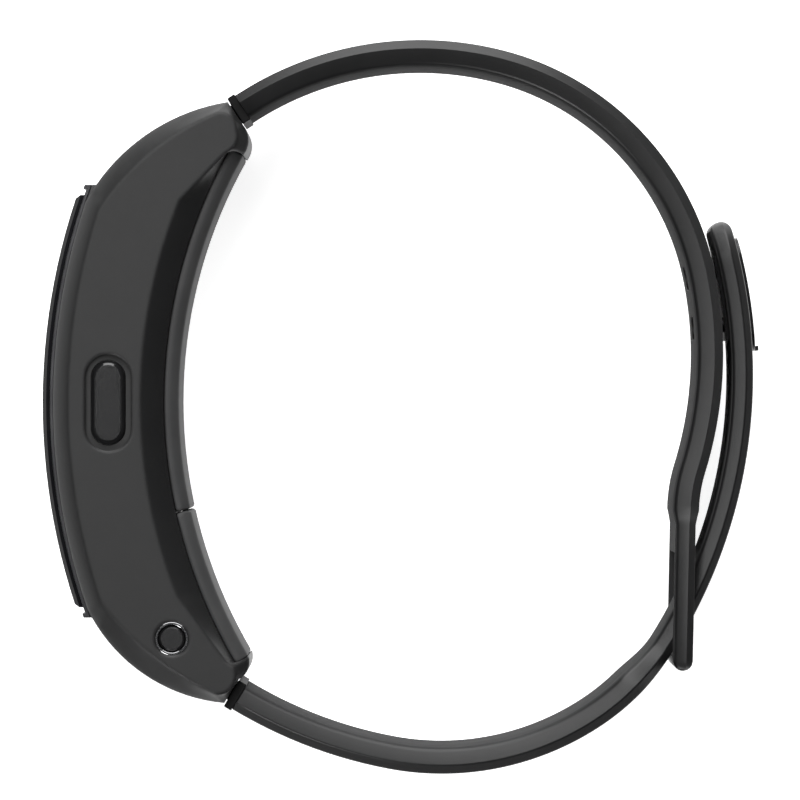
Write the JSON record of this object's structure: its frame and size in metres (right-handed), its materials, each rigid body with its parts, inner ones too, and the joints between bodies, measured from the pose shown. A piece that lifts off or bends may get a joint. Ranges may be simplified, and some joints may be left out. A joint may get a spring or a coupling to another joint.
{
  "type": "fitness tracker band",
  "caption": "Black wrist band with a lift-out curved tracker core, a side key, round release buttons and a strap whose tongue runs through a keeper ring to a stud clasp.",
  "frame": {"origin": "centre of the footprint of the band lying on its far side, on the surface that it lies on", "axes": "+Z along the width of the band, towards the side with the function key; +X from the display to the clasp; +Y from the lower strap to the upper strap"},
  "size_m": [0.0595, 0.0609, 0.0222],
  "materials": {
    "frame": "satin soft-touch moulding, charcoal",
    "cover": "satin moulding, a little lighter than the frame",
    "key": "dark cap with a polished edge",
    "seal": "matt black rubber",
    "steel": "plain stainless steel",
    "shell": "matt black moulding",
    "bezel": "dark polished metal",
    "glass": "black curved cover lens, polished",
    "panel": "black screen",
    "board": "green solder resist",
    "battery": "silver pouch",
    "strap": "matt black elastomer",
    "link": "black moulding",
    "clasp": "black coated steel",
    "button": "dark satin cap",
    "button_ring": "polished metal"
  },
  "bodies": {
    "case": {"case_frame": "frame", "back_cover_upper": "cover", "back_cover_lower": "cover", "key_seal": "seal", "key_dome": "steel", "upper_strap": "strap", "lower_strap": "strap", "upper_link": "link", "lower_link": "link", "upper_pin": "steel", "lower_pin": "steel", "button_ring_near": "button_ring", "button_pad_near": "seal", "button_ring_far": "button_ring", "button_pad_far": "seal"},
    "core": {"core_shell": "shell", "bezel_ring": "bezel", "display_glass": "glass", "display_panel": "panel", "main_board": "board", "battery_cell": "battery", "vibration_motor": "steel", "charge_port": "steel"},
    "key": {"function_key": "key"},
    "button_near": {"release_button_near": "button"},
    "button_far": {"release_button_far": "button"},
    "tail": {"strap_tail": "strap", "clasp_plate": "clasp", "clasp_base": "clasp"}
  },
  "joints": [
    {"name": "core_lift", "type": "slide", "parent": "case", "child": "core", "axis": [-1, 0, 0], "range_m": [0, 0.018]},
    {"name": "function_key_press", "type": "slide", "parent": "case", "child": "key", "axis": [0, 0, -1], "range_m": [0, 0.00035], "stiffness_N_per_m": 1500, "springref_m": -0.0002},
    {"name": "release_button_near_press", "type": "slide", "parent": "case", "child": "button_near", "axis": [0, 0, -1], "range_m": [0, 0.0005], "stiffness_N_per_m": 1200, "springref_m": -0.0002},
    {"name": "release_button_far_press", "type": "slide", "parent": "case", "child": "button_far", "axis": [0, 0, 1], "range_m": [0, 0.0005], "stiffness_N_per_m": 1200, "springref_m": -0.0002},
    {"name": "tail_open", "type": "hinge", "parent": "case", "child": "tail", "pos_m": [0.02704, -0.01092, 0.011], "axis": [0, 0, -1], "range_deg": [0, 50]}
  ]
}
